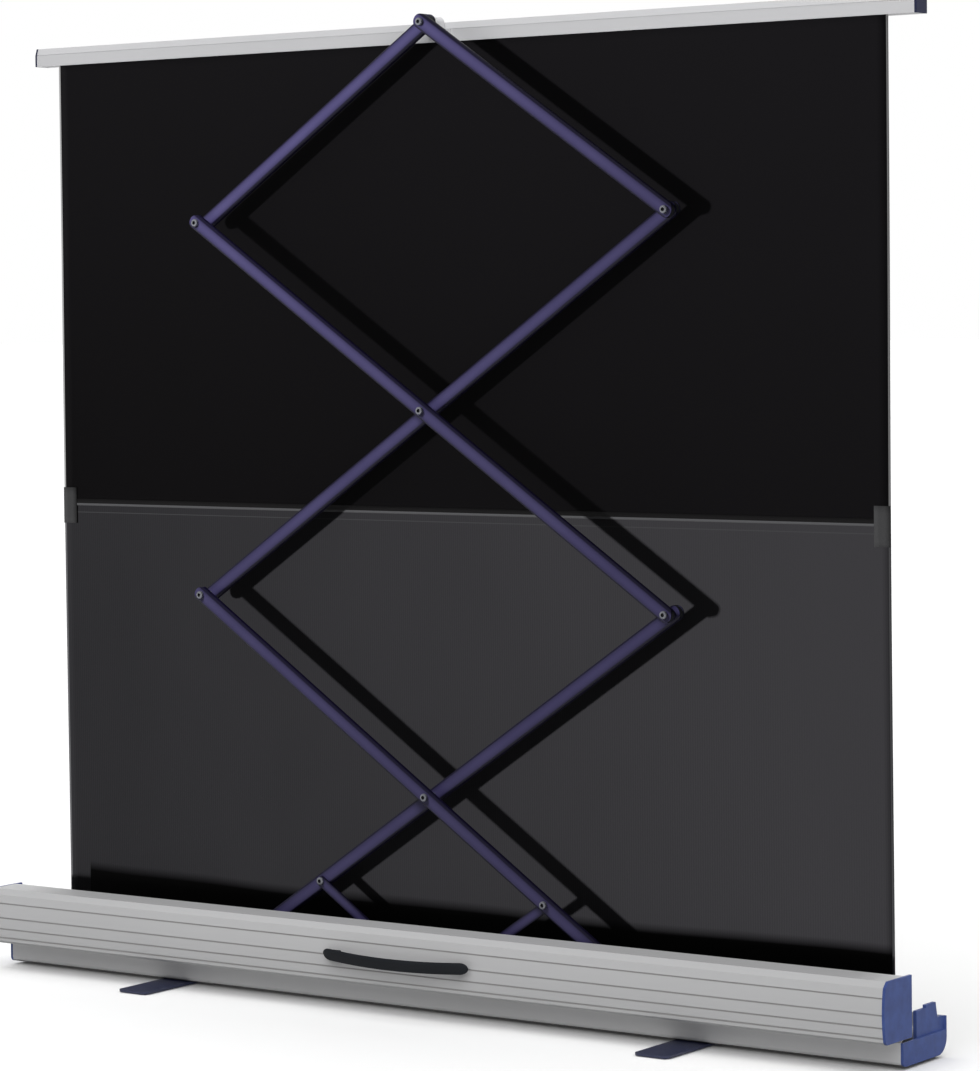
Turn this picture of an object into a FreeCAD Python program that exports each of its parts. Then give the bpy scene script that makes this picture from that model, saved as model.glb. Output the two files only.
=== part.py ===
# Portable pull-up projection screen: a floor case with a roller sheet, raised by a scissor of six arms.
# Frame: X along the case, +Y to the rear (scissor and lid side), -Y to the audience, Z up from the floor.
# Left and right are the audience's: left is -X. Lengths are in millimetres and angles in degrees.
import FreeCAD, Part
import math
import os
import Sketcher

os.makedirs("parts", exist_ok=True)
doc = FreeCAD.newDocument("projection_screen")
sheet = doc.addObject("Spreadsheet::Sheet", "Sizes")
pieces = []


# A value that carries its number and the formula of spreadsheet cells that it comes from.
class Term:
    def __init__(self, number, text):
        self.number, self.text = number, text

    def __add__(self, other):
        return Term(self.number + num(other), "(%s + %s)" % (self.text, txt(other)))

    def __sub__(self, other):
        return Term(self.number - num(other), "(%s - %s)" % (self.text, txt(other)))

    def __mul__(self, other):
        return Term(self.number * num(other), "%s * %s" % (self.text, txt(other)))

    def __truediv__(self, other):
        return Term(self.number / num(other), "(%s) / (%s)" % (self.text, txt(other)))

    def __rmul__(self, other):
        return self * other

    def __neg__(self):
        return Term(-self.number, "(-1 * %s)" % self.text)


def num(value):
    return value.number if isinstance(value, Term) else float(value)


def txt(value):
    return value.text if isinstance(value, Term) else repr(float(value))


def sine(angle):
    return Term(math.sin(math.radians(angle.number)), "sin(%s)" % angle.text)


def cosine(angle):
    return Term(math.cos(math.radians(angle.number)), "cos(%s)" % angle.text)


def root(value):
    return Term(math.sqrt(value.number), "sqrt(%s)" % value.text)


ZERO = Term(0.0, "0")
rows = []


# One driving dimension: a cell with an alias.
def size(alias, number):
    rows.append(alias)
    place = str(len(rows))
    sheet.set("A" + place, alias)
    sheet.set("B" + place, str(number))
    sheet.setAlias("B" + place, alias)
    return Term(float(number), "Sizes." + alias)


# Scissor: pivot spacing and angles
half_arm = size("half_arm", 430.0)
open_angle = size("open_angle", 34.1)
folded_angle = size("folded_angle", 1.6)
arm_width = size("arm_width", 20.0)
arm_depth = size("arm_depth", 10.0)
arm_wall = size("arm_wall", 1.3)
arm_round = size("arm_round", 4.2)
plug_sink = size("plug_sink", 0.6)
link_half_width = size("link_half_width", 6.5)
link_thick = size("link_thick", 2.4)
pin_radius = size("pin_radius", 3.0)
pin_head_radius = size("pin_head_radius", 5.0)
pin_head_thick = size("pin_head_thick", 3.9)
pin_tail_radius = size("pin_tail_radius", 4.2)
pin_tail_thick = size("pin_tail_thick", 3.0)
shoulder_radius = size("shoulder_radius", 4.3)
pin_play = size("pin_play", 0.05)
open_pivot_play = size("open_pivot_play", 0.3)
face_play = size("face_play", 0.3)
fit_play = size("fit_play", 0.1)
link_gap = size("link_gap", 0.4)
arm_plane_front = size("arm_plane_front", 8.0)
pivot_height = size("pivot_height", 27.0)

# Case: housing, floor clearance and walls
case_half = size("case_half", 680.0)
case_depth = size("case_depth", 104.0)
case_wall = size("case_wall", 1.8)
case_underside = size("case_underside", 4.3)
rear_round = size("rear_round", 6.0)
front_round = size("front_round", 20.0)
rear_wall_top = size("rear_wall_top", 32.0)
front_wall_top = size("front_wall_top", 48.0)
cap_thick = size("cap_thick", 3.5)
cheek_thick = size("cheek_thick", 4.5)
cheek_rear = size("cheek_rear", 14.0)
cheek_top = size("cheek_top", 63.0)
bump_rise = size("bump_rise", 3.5)
bump_rear = size("bump_rear", 9.0)
bump_front = size("bump_front", 32.0)
shelf_width = size("shelf_width", 14.0)

# Lid: an extruded shell on a bead along the housing's rear wall
bead_setback = size("bead_setback", 4.0)
bead_rise = size("bead_rise", 5.0)
bead_radius = size("bead_radius", 3.0)
knuckle_wall = size("knuckle_wall", 1.7)
knuckle_play = size("knuckle_play", 0.1)
knuckle_angle = size("knuckle_angle", 200.0)
lid_drop = size("lid_drop", 1.0)
lid_tall = size("lid_tall", 72.0)
lid_face = size("lid_face", 92.5)
lid_bulge = size("lid_bulge", 3.0)
lid_wall = size("lid_wall", 1.8)
lid_lip = size("lid_lip", 43.0)
lid_lip_drop = size("lid_lip_drop", 6.0)
lid_top_chamfer = size("lid_top_chamfer", 7.0)
lid_low_chamfer = size("lid_low_chamfer", 3.0)
lid_cap_front = size("lid_cap_front", 31.0)
groove_width = size("groove_width", 1.5)
groove_depth = size("groove_depth", 0.7)
handle_half = size("handle_half", 111.0)
handle_bow = size("handle_bow", 12.0)
handle_thick = size("handle_thick", 6.0)
handle_width = size("handle_width", 15.0)
handle_height = size("handle_height", 74.0)
handle_tilt = size("handle_tilt", 16.0)
handle_round = size("handle_round", 2.4)
handle_mount_long = size("handle_mount_long", 16.0)
handle_stand = size("handle_stand", 5.0)
handle_screw_radius = size("handle_screw_radius", 1.8)
handle_screw_head = size("handle_screw_head", 3.6)
handle_screw_head_thick = size("handle_screw_head_thick", 1.6)

# Roller and sheets
roller_back = size("roller_back", 30.0)
roller_height = size("roller_height", 25.0)
roller_radius = size("roller_radius", 11.0)
roller_wall = size("roller_wall", 1.5)
roller_end_gap = size("roller_end_gap", 3.4)
wound_thick = size("wound_thick", 1.0)
axle_radius = size("axle_radius", 4.0)
bearing_radius = size("bearing_radius", 9.0)
bearing_long = size("bearing_long", 12.0)
plug_long = size("plug_long", 20.0)
arbor_radius = size("arbor_radius", 3.0)
arbor_long = size("arbor_long", 420.0)
spring_play = size("spring_play", 0.3)
spring_outer = size("spring_outer", 6.5)
spring_long = size("spring_long", 300.0)
sheet_margin = size("sheet_margin", 25.0)
sheet_thick = size("sheet_thick", 0.4)
backing_thick = size("backing_thick", 0.3)
layer_gap = size("layer_gap", 0.2)
join_height = size("join_height", 618.0)
hem_width = size("hem_width", 9.0)
tab_width = size("tab_width", 22.0)
tab_height = size("tab_height", 48.0)

# Top bar
bar_end_gap = size("bar_end_gap", 1.5)
bar_cap = size("bar_cap", 3.0)
bar_drop = size("bar_drop", 23.0)
bar_tall = size("bar_tall", 24.0)
bar_depth = size("bar_depth", 25.0)
bar_rear = size("bar_rear", 14.0)
bar_wall = size("bar_wall", 1.6)
bar_facet = size("bar_facet", 9.0)
bar_slant = size("bar_slant", 3.0)
bar_groove = size("bar_groove", 0.7)
sheet_hold = size("sheet_hold", 4.0)
bracket_half = size("bracket_half", 7.5)
bracket_flange_half = size("bracket_flange_half", 17.0)
bracket_flange_thick = size("bracket_flange_thick", 2.5)
bracket_flange_lift = size("bracket_flange_lift", 5.0)
bracket_screw_radius = size("bracket_screw_radius", 2.0)
bracket_screw_head = size("bracket_screw_head", 3.5)
bracket_screw_share = size("bracket_screw_share", 0.42)

# Sliders, tracks and the centre pivot block
track_width = size("track_width", 16.0)
track_tall = size("track_tall", 5.4)
track_wall = size("track_wall", 1.2)
track_slot = size("track_slot", 8.4)
track_margin = size("track_margin", 18.0)
shoe_half = size("shoe_half", 11.0)
ear_thick = size("ear_thick", 7.0)
block_half = size("block_half", 20.0)
block_depth = size("block_depth", 24.0)
block_flange = size("block_flange", 3.0)
tongue_thick = size("tongue_thick", 2.8)
block_screw_radius = size("block_screw_radius", 2.0)

# Swivel feet
foot_place = size("foot_place", 396.0)
foot_long = size("foot_long", 280.0)
foot_width = size("foot_width", 48.0)
foot_thick = size("foot_thick", 2.8)
foot_round = size("foot_round", 8.0)
pad_thick = size("pad_thick", 1.2)
pad_long = size("pad_long", 24.0)
pad_inset = size("pad_inset", 5.0)
rivet_radius = size("rivet_radius", 4.0)
rivet_head = size("rivet_head", 7.0)
rivet_head_thick = size("rivet_head_thick", 2.0)
recess_deep = size("recess_deep", 1.4)

# One overrun serves every cut, and one reach tells whether an edge runs through a place
overrun = size("overrun", 2.0)
edge_reach = size("edge_reach", 0.02)
doc.recompute()


# Binds one property of an object to a formula.
def bind(thing, prop, value):
    thing.setExpression(prop, txt(value))


# Puts an object at a place, turned about an axis by a bound angle.
def place(thing, at, axis=None, angle=None):
    if axis is not None:
        turn = FreeCAD.Rotation(FreeCAD.Vector(*axis), num(angle))
        thing.Placement = FreeCAD.Placement(FreeCAD.Vector(*[num(v) for v in at]), turn)
        if isinstance(angle, Term):
            bind(thing, "Placement.Rotation.Angle", angle)
    for letter, value in zip("xyz", at):
        bind(thing, "Placement.Base." + letter, value)
    return thing


# Block between two corners.
def block(low, high):
    thing = doc.addObject("Part::Box", "Block")
    for prop, a, b in zip(("Length", "Width", "Height"), low, high):
        bind(thing, prop, b - a)
    return place(thing, low)


# Round bar along X, Y or Z that starts at a place.
def rod(direction, start, radius, length):
    thing = doc.addObject("Part::Cylinder", "Rod")
    bind(thing, "Radius", radius)
    bind(thing, "Height", length)
    turns = {"x": ((0, 1, 0), 90), "y": ((1, 0, 0), -90), "z": ((0, 0, 1), 0)}
    return place(thing, start, *turns[direction])


def fuse(parts):
    thing = doc.addObject("Part::MultiFuse", "Joined")
    thing.Shapes = parts
    return thing


def cut(base, tools):
    thing = doc.addObject("Part::Cut", "Holed")
    thing.Base = base
    thing.Tool = tools[0] if len(tools) == 1 else fuse(tools)
    return thing


def common(base, tool):
    thing = doc.addObject("Part::Common", "Shared")
    thing.Base = base
    thing.Tool = tool
    return thing


def group(parts):
    thing = doc.addObject("Part::Compound", "Group")
    thing.Links = parts
    return thing


# Names an object as a finished sub-part of the screen.
def piece(label, thing):
    thing.Label = label
    pieces.append(thing)
    return thing


# A closed outline of straight and round edges: each corner may carry a radius and a side (1 out, -1 in)
# for the edge that leaves it.
def outline(sketch, corners):
    first = sketch.GeometryCount
    count = len(corners)
    spots = [FreeCAD.Vector(num(c[0]), num(c[1]), 0) for c in corners]
    heads, tails = [], []
    for i, corner in enumerate(corners):
        a, b = spots[i], spots[(i + 1) % count]
        if len(corner) == 2:
            sketch.addGeometry(Part.LineSegment(a, b), False)
            heads.append(1)
            tails.append(2)
            continue
        radius, side = num(corner[2]), corner[3]
        along = b - a
        left = FreeCAD.Vector(-along.y, along.x, 0).normalize()
        rise = math.sqrt(max(radius ** 2 - (along.Length / 2) ** 2, 0))
        centre = (a + b) * 0.5 + left * rise * side
        ends = (a, b) if side > 0 else (b, a)
        angles = [math.atan2(p.y - centre.y, p.x - centre.x) for p in ends]
        circle = Part.Circle(centre, FreeCAD.Vector(0, 0, 1), radius)
        sketch.addGeometry(Part.ArcOfCircle(circle, angles[0], angles[1]), False)
        heads.append(1 if side > 0 else 2)
        tails.append(2 if side > 0 else 1)
        number = sketch.addConstraint(Sketcher.Constraint("Radius", first + i, radius))
        bind(sketch, "Constraints[%d]" % number, corner[2])
    for i in range(count):
        following = (i + 1) % count
        sketch.addConstraint(Sketcher.Constraint("Coincident", first + i, tails[i],
                                                 first + following, heads[following]))
    for i, corner in enumerate(corners):
        for kind, value in (("DistanceX", corner[0]), ("DistanceY", corner[1])):
            rule = Sketcher.Constraint(kind, -1, 1, first + i, heads[i], num(value))
            bind(sketch, "Constraints[%d]" % sketch.addConstraint(rule), value)


# A circle in a sketch.
def circle(sketch, across, up, radius):
    spot = FreeCAD.Vector(num(across), num(up), 0)
    drawn = sketch.addGeometry(Part.Circle(spot, FreeCAD.Vector(0, 0, 1), num(radius)), False)
    for kind, value in (("DistanceX", across), ("DistanceY", up)):
        rule = Sketcher.Constraint(kind, -1, 1, drawn, 3, num(value))
        bind(sketch, "Constraints[%d]" % sketch.addConstraint(rule), value)
    number = sketch.addConstraint(Sketcher.Constraint("Radius", drawn, num(radius)))
    bind(sketch, "Constraints[%d]" % number, radius)


def new_body(name):
    return doc.addObject("PartDesign::Body", name)


# A sketch on one of the body's own origin planes, with outlines and circles.
def draw(body, plane, outlines=(), circles=()):
    sketch = body.newObject("Sketcher::SketchObject", "Drawing")
    support = [item for item in body.Origin.OriginFeatures if item.Role == plane][0]
    sketch.AttachmentSupport = [(support, "")]
    sketch.MapMode = "FlatFace"
    for corners in outlines:
        outline(sketch, corners)
    for across, up, radius in circles:
        circle(sketch, across, up, radius)
    return sketch


def pad(body, sketch, length, middle=True):
    thing = body.newObject("PartDesign::Pad", "Pad")
    thing.Profile = sketch
    thing.Midplane = middle
    bind(thing, "Length", length)
    doc.recompute()
    return thing


# A pocket both ways from its sketch; the volume has to fall.
def pocket(body, sketch, length):
    before = body.Shape.Volume
    thing = body.newObject("PartDesign::Pocket", "Pocket")
    thing.Profile = sketch
    thing.Midplane = True
    bind(thing, "Length", length)
    doc.recompute()
    if not body.Shape.Volume < before:
        raise ValueError("a pocket in %s cuts nothing" % body.Name)
    return thing


# Rounds the edges that run along one axis through the given places in the plane square to it.
def round_edges(body, axis, places, radius):
    u, v = [i for i in range(3) if i != axis]
    names = []
    for number, edge in enumerate(body.Shape.Edges, 1):
        a, b = edge.Vertexes[0].Point, edge.Vertexes[-1].Point
        if abs(a[u] - b[u]) + abs(a[v] - b[v]) > edge_reach.number:
            continue
        for spot in places:
            if math.hypot(a[u] - num(spot[0]), a[v] - num(spot[1])) < edge_reach.number:
                names.append("Edge%d" % number)
    base = body.Tip
    thing = body.newObject("PartDesign::Fillet", "Rounding")
    thing.Base = (base, names)
    bind(thing, "Radius", radius)
    doc.recompute()
    return thing


# Corners of a rectangle, counter-clockwise.
def rectangle(low_a, high_a, low_b, high_b):
    return [(low_a, low_b), (high_a, low_b), (high_a, high_b), (low_a, high_b)]


# Planes of the scissor along Y, and the heights and reaches of its pivots with the screen up
front_arm_low = arm_plane_front
front_arm_high = front_arm_low + arm_depth
mid_low = front_arm_high + link_gap
link_right_high = mid_low + link_thick
tongue_low = link_right_high + link_gap
tongue_high = tongue_low + tongue_thick
link_left_low = tongue_high + link_gap
mid_high = link_left_low + link_thick
rear_arm_low = mid_high + link_gap
rear_arm_high = rear_arm_low + arm_depth
mid_centre = (front_arm_high + rear_arm_low) / 2
head_start = rear_arm_high + face_play
head_end = head_start + pin_head_thick
upper_rear_low = front_arm_high + link_gap
upper_head_start = upper_rear_low + arm_depth + face_play
upper_head_end = upper_head_start + pin_head_thick
tail_end = front_arm_low - face_play
tail_start = tail_end - pin_tail_thick
rise = half_arm * sine(open_angle)
reach = half_arm * cosine(open_angle)
folded_reach = half_arm * cosine(folded_angle)
top_height = pivot_height + 5 * rise
bar_low = top_height - bar_drop
bar_high = bar_low + bar_tall
case_rear = case_depth / 2
case_front = -case_rear
bead_height = rear_wall_top + bead_rise
lid_low = bead_height - lid_drop
lid_top = lid_low + lid_tall
cheek_face = case_half - cheek_thick
bearing_start = cheek_face - fit_play - bearing_long
roller_half = bearing_start - roller_end_gap
sheet_half = roller_half - sheet_margin
bar_half = cheek_face - bar_end_gap - bar_cap
floor_top = case_underside + case_wall
block_screw_places = [((block_half - link_half_width) * a, mid_centre + (block_depth / 3) * b)
                      for a in (1, -1) for b in (1, -1)]


# Base housing: an open aluminium extrusion with a hinge bead along its rear wall
def make_housing():
    body = new_body("Housing")
    rear_in, front_in = case_rear - case_wall, case_front + case_wall
    section = [
        (case_front + front_round, case_underside),
        (case_rear - rear_round, case_underside, rear_round, 1),
        (case_rear, case_underside + rear_round),
        (case_rear, rear_wall_top),
        (rear_in, rear_wall_top),
        (rear_in, case_underside + rear_round, rear_round - case_wall, -1),
        (case_rear - rear_round, floor_top),
        (case_front + front_round, floor_top, front_round - case_wall, -1),
        (front_in, case_underside + front_round),
        (front_in, front_wall_top),
        (case_front, front_wall_top),
        (case_front, case_underside + front_round, front_round, 1),
    ]
    pad(body, draw(body, "YZ_Plane", [section]), 2 * case_half)
    bead_y = case_rear - bead_setback
    neck = [
        (rear_in, rear_wall_top - case_wall),
        (case_rear, rear_wall_top - case_wall),
        (bead_y + case_wall / 2, bead_height),
        (bead_y - case_wall / 2, bead_height),
    ]
    pad(body, draw(body, "YZ_Plane", [neck]), 2 * case_half)
    pad(body, draw(body, "YZ_Plane", [], [(bead_y, bead_height, bead_radius)]), 2 * case_half)
    holes = [(foot_place * side, ZERO, rivet_radius + pin_play) for side in (1, -1)]
    holes += [(x, y, block_screw_radius + pin_play) for x, y in block_screw_places]
    pocket(body, draw(body, "XY_Plane", [], holes), 4 * floor_top)
    piece("base_housing", body)


# End cap of the base: an outer plate with the housing's section and a cheek that fits inside it
def make_base_cap(label, side):
    body = new_body("BaseCap")
    plate = [
        (case_front + front_round, case_underside),
        (case_rear - rear_round, case_underside, rear_round, 1),
        (case_rear, case_underside + rear_round),
        (case_rear, rear_wall_top),
        (case_front + case_wall, rear_wall_top),
        (case_front + case_wall, front_wall_top),
        (case_front, front_wall_top),
        (case_front, case_underside + front_round, front_round, 1),
    ]
    inner = case_wall + fit_play
    cheek_front = case_front + inner
    cheek = [
        (case_front + front_round, case_underside + inner),
        (cheek_rear, case_underside + inner),
        (cheek_rear, cheek_top),
        (-bump_rear, cheek_top),
        (-bump_rear, cheek_top + bump_rise),
        (-bump_front, cheek_top + bump_rise),
        (cheek_front + shelf_width, front_wall_top),
        (cheek_front, front_wall_top),
        (cheek_front, case_underside + front_round, front_round - inner, 1),
    ]
    outer = pad(body, draw(body, "YZ_Plane", [plate]), cap_thick, False)
    cheek_sketch = draw(body, "YZ_Plane", [cheek])
    inside = pad(body, cheek_sketch, cheek_thick, False)
    outer.Reversed = side < 0
    inside.Reversed = side > 0
    piece(label, place(body, (case_half * side, ZERO, ZERO)))


# Lid section: C-shaped extrusion with a bowed outer face
lid_chord = (lid_top - lid_top_chamfer) - (lid_low + lid_low_chamfer)
lid_middle = ((lid_top - lid_top_chamfer) + (lid_low + lid_low_chamfer)) / 2
lid_radius = (lid_chord * lid_chord / 4 + lid_bulge * lid_bulge) / (2 * lid_bulge)
corner_share = math.tan(math.radians(22.5))
groove_shares = (0.11, 0.275, 0.48, 0.745)


def make_lid():
    body = new_body("Lid")
    bead_y = case_rear - bead_setback
    ring_in = bead_radius + knuckle_play
    ring_out = ring_in + knuckle_wall
    wall_start = bead_y + (ring_in + ring_out) / 2
    inset = lid_wall * corner_share
    section = [
        (wall_start, lid_low),
        (lid_face - lid_low_chamfer, lid_low),
        (lid_face, lid_low + lid_low_chamfer, lid_radius, 1),
        (lid_face, lid_top - lid_top_chamfer),
        (lid_face - lid_top_chamfer, lid_top),
        (lid_lip, lid_top),
        (lid_lip, lid_top - lid_lip_drop),
        (lid_lip + lid_wall, lid_top - lid_lip_drop),
        (lid_lip + lid_wall, lid_top - lid_wall),
        (lid_face - lid_top_chamfer - inset, lid_top - lid_wall),
        (lid_face - lid_wall, lid_top - lid_top_chamfer, lid_radius, -1),
        (lid_face - lid_wall, lid_low + lid_low_chamfer),
        (lid_face - lid_low_chamfer - inset, lid_low + lid_wall),
        (wall_start, lid_low + lid_wall),
    ]
    pad(body, draw(body, "YZ_Plane", [section]), 2 * case_half)
    half_turn = knuckle_angle / 2

    def on_ring(radius, angle):
        return bead_y + radius * cosine(angle), bead_height + radius * sine(angle)

    ring = [
        (bead_y + ring_out, bead_height, ring_out, 1),
        (*on_ring(ring_out, half_turn), ring_out, 1),
        on_ring(ring_out, knuckle_angle),
        (*on_ring(ring_in, knuckle_angle), ring_in, -1),
        (*on_ring(ring_in, half_turn), ring_in, -1),
        (bead_y + ring_in, bead_height),
    ]
    pad(body, draw(body, "YZ_Plane", [ring]), 2 * case_half)
    grooves = []
    for share in groove_shares:
        height = lid_low + (lid_top - lid_low) * share
        offset = height - lid_middle
        depth = lid_face + lid_bulge - lid_radius + root(lid_radius * lid_radius - offset * offset)
        grooves.append(rectangle(depth - groove_depth, depth + overrun,
                                 height - groove_width / 2, height + groove_width / 2))
    pocket(body, draw(body, "YZ_Plane", grooves), 2 * case_half + overrun)
    piece("lid_shell", body)


# End cap of the lid: a plate with a stepped rear edge and a spigot inside the shell
def make_lid_cap(label, side):
    body = new_body("LidCap")
    plate = [
        (lid_cap_front, lid_low),
        (lid_face - lid_low_chamfer, lid_low),
        (lid_face, lid_low + lid_low_chamfer, lid_radius, 1),
        (lid_face, lid_top - lid_top_chamfer),
        (lid_face - lid_top_chamfer, lid_top),
        (lid_cap_front, lid_top),
    ]
    inner = lid_wall + fit_play
    spigot = [
        (case_rear + bead_setback, lid_low + inner),
        (lid_face - lid_low_chamfer - inner, lid_low + inner),
        (lid_face - inner, lid_low + lid_low_chamfer + inner),
        (lid_face - inner, lid_top - lid_top_chamfer - inner),
        (lid_face - lid_top_chamfer - inner, lid_top - inner),
        (case_rear + bead_setback, lid_top - inner),
    ]
    outer = pad(body, draw(body, "YZ_Plane", [plate]), cap_thick, False)
    inside = pad(body, draw(body, "YZ_Plane", [spigot]), cheek_thick, False)
    outer.Reversed = side < 0
    inside.Reversed = side > 0
    piece(label, place(body, (case_half * side, ZERO, ZERO)))


# Carrying handle: a bowed rubber strap, two plates under its ends and a screw sunk into each end
def make_handle():
    body = new_body("Handle")
    half = handle_half
    inner_radius = (half * half + handle_bow * handle_bow) / (2 * handle_bow)
    outer_radius = inner_radius + handle_thick
    strap = [
        (half, ZERO),
        (half, handle_thick, outer_radius, 1),
        (-half, handle_thick),
        (-half, ZERO, inner_radius, -1),
    ]
    pad(body, draw(body, "XY_Plane", [strap]), handle_width)
    ends = [(-half, ZERO), (-half, handle_thick), (half, handle_thick), (half, ZERO)]
    round_edges(body, 2, ends, handle_round)
    stand = lid_face + lid_bulge + face_play
    seat = ((ZERO, stand + handle_stand, handle_height), (-1, 0, 0), handle_tilt)
    screw_x = handle_half - handle_mount_long
    head_edge = screw_x + handle_screw_head
    outer_end = root(outer_radius * outer_radius - half * half)
    sink = root(outer_radius * outer_radius - head_edge * head_edge) - outer_end + handle_thick - face_play
    bore_long = 2 * handle_stand + handle_bow
    holes = [rod("y", (screw_x * side, -handle_stand, ZERO), handle_screw_radius + pin_play, bore_long)
             for side in (1, -1)]
    sinks = [rod("y", (screw_x * side, sink, ZERO), handle_screw_head + face_play, handle_bow)
             for side in (1, -1)]
    piece("handle_grip", place(cut(body, holes + sinks), *seat))
    plate_thick = handle_stand - handle_width / 2 * sine(handle_tilt) - face_play
    plates, screws = [], []
    for side in (1, -1):
        x = screw_x * side
        low = (x - handle_mount_long / 2, stand, handle_height - handle_width / 2)
        high = (x + handle_mount_long / 2, stand + plate_thick, handle_height + handle_width / 2)
        plates.append(block(low, high))
        head = sink + fit_play
        screws.append(rod("y", (x, -handle_stand / 2, ZERO), handle_screw_radius, head + handle_stand / 2))
        screws.append(rod("y", (x, head, ZERO), handle_screw_head, handle_screw_head_thick))
    tool = place(group(holes), *seat)
    piece("handle_mounts", cut(group(plates), [tool]))
    pairs = [fuse(screws[:2]), fuse(screws[2:])]
    piece("handle_screws", place(group(pairs), *seat))


# Scissor arm: flat-oval tube along local X, its ends rounded about the end pins and plugged
def make_arm(label, half_length, holes, at, axis, plane_low):
    body = new_body("Arm")
    end = half_length + arm_width / 2
    outer = rectangle(-arm_depth / 2, arm_depth / 2, -arm_width / 2, arm_width / 2)
    pad(body, draw(body, "YZ_Plane", [outer]), 2 * end)
    round_edges(body, 0, outer, arm_round)
    half_in, wide_in = arm_depth / 2 - arm_wall, arm_width / 2 - arm_wall
    inner = rectangle(-half_in, half_in, -wide_in, wide_in)
    pocket(body, draw(body, "YZ_Plane", [inner]), 2 * end + overrun)
    round_edges(body, 0, inner, arm_round - arm_wall)
    pocket(body, draw(body, "XZ_Plane", [], [(x, ZERO, radius) for x, radius in holes]), 2 * arm_depth)
    noses = [rod("y", (half_length * side, -arm_depth, ZERO), arm_width / 2, 2 * arm_depth)
             for side in (1, -1)]
    middle = block((-half_length, -arm_depth, -arm_width / 2), (half_length, arm_depth, arm_width / 2))
    centre = (at[0], plane_low + arm_depth / 2, at[1])
    piece(label, place(common(body, fuse([middle] + noses)), centre, axis, open_angle))
    half_in, wide_in = half_in - fit_play, wide_in - fit_play
    plugs = []
    for side in (1, -1):
        near, far = (half_length + pin_radius + face_play) * side, end * side
        low_x, high_x = (near, far) if side > 0 else (far, near)
        core = block((low_x, -half_in, -wide_in), (high_x, half_in, wide_in))
        rounded = doc.addObject("Part::Fillet", "RoundCore")
        rounded.Base = core
        doc.recompute()
        long_edges = [number for number, edge in enumerate(core.Shape.Edges, 1)
                      if abs(edge.Vertexes[0].Point.x - edge.Vertexes[-1].Point.x) > pin_radius.number]
        inner_round = (arm_round - arm_wall).number
        rounded.Edges = [(number, inner_round, inner_round) for number in long_edges]
        nose = rod("y", (half_length * side, -arm_depth, ZERO), arm_width / 2 - plug_sink, 2 * arm_depth)
        plugs.append(common(rounded, nose))
    piece(label + "_plugs", place(group(plugs), centre, axis, open_angle))


# Pivot pin along Y made of stages: each a radius, a start and an end
def pin(x, z, stages):
    return fuse([rod("y", (x, start, z), radius, end - start) for radius, start, end in stages])


# The full rivet through both arm planes: tail, shaft, shoulder between the arms and head
def rivet_stages():
    return [
        (pin_radius, tail_start, head_end),
        (pin_tail_radius, tail_start, tail_end),
        (shoulder_radius, front_arm_high + link_gap, rear_arm_low - link_gap),
        (pin_head_radius, head_start, head_end),
    ]


# Short link: a flat strip with round ends from the centre pivot to an arm
def make_link(label, low, high, side, far_play):
    strip = block((ZERO, low, -link_half_width), (half_arm / 2, high, link_half_width))
    ends = [rod("y", (x, low, ZERO), link_half_width, high - low) for x in (ZERO, half_arm / 2)]
    holes = [rod("y", (ZERO, low - overrun, ZERO), pin_radius + pin_play, high - low + 2 * overrun),
             rod("y", (half_arm / 2, low - overrun, ZERO), pin_radius + far_play, high - low + 2 * overrun)]
    strip = cut(fuse([strip] + ends), holes)
    angle = open_angle if side > 0 else Term(180.0, "180") - open_angle
    piece(label, place(strip, (ZERO, ZERO, pivot_height), (0, -1, 0), angle))


make_housing()
make_base_cap("base_end_cap_left", -1)
make_base_cap("base_end_cap_right", 1)
make_lid()
make_lid_cap("lid_end_cap_left", -1)
make_lid_cap("lid_end_cap_right", 1)
make_handle()

# The six arms: rear ones rise towards +X, front ones towards -X
tight = pin_radius + pin_play
loose = pin_radius + open_pivot_play
REAR, FRONT = (0, -1, 0), (0, 1, 0)
low_z, middle_z, top_z = pivot_height + rise, pivot_height + 3 * rise, pivot_height + 4.5 * rise
full_holes = [(half_arm, tight), (ZERO, tight), (-half_arm, tight)]
make_arm("lower_arm_rear", half_arm, full_holes + [(-half_arm / 2, tight)], (ZERO, low_z), REAR, rear_arm_low)
make_arm("middle_arm_rear", half_arm, full_holes, (ZERO, middle_z), REAR, rear_arm_low)
make_arm("upper_arm_rear", half_arm / 2, [(half_arm / 2, tight), (-half_arm / 2, tight)],
         (-reach / 2, top_z), REAR, upper_rear_low)
make_arm("lower_arm_front", half_arm,
         [(-half_arm, loose), (ZERO, tight), (half_arm / 2, tight), (half_arm, tight)],
         (ZERO, low_z), FRONT, front_arm_low)
make_arm("middle_arm_front", half_arm, full_holes, (ZERO, middle_z), FRONT, front_arm_low)
make_arm("upper_arm_front", half_arm / 2, [(-half_arm / 2, loose), (half_arm / 2, tight)],
         (reach / 2, top_z), FRONT, front_arm_low)

# Short links and their pins
make_link("short_link_left", link_left_low, mid_high, -1, pin_play)
make_link("short_link_right", mid_low, link_right_high, 1, open_pivot_play)
piece("link_pin_left", pin(-reach / 2, pivot_height + rise / 2,
                           [(pin_radius, link_left_low, head_end), (pin_head_radius, head_start, head_end)]))
piece("centre_pivot_pin", rod("y", (ZERO, mid_low, pivot_height), pin_radius, mid_high - mid_low))

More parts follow.
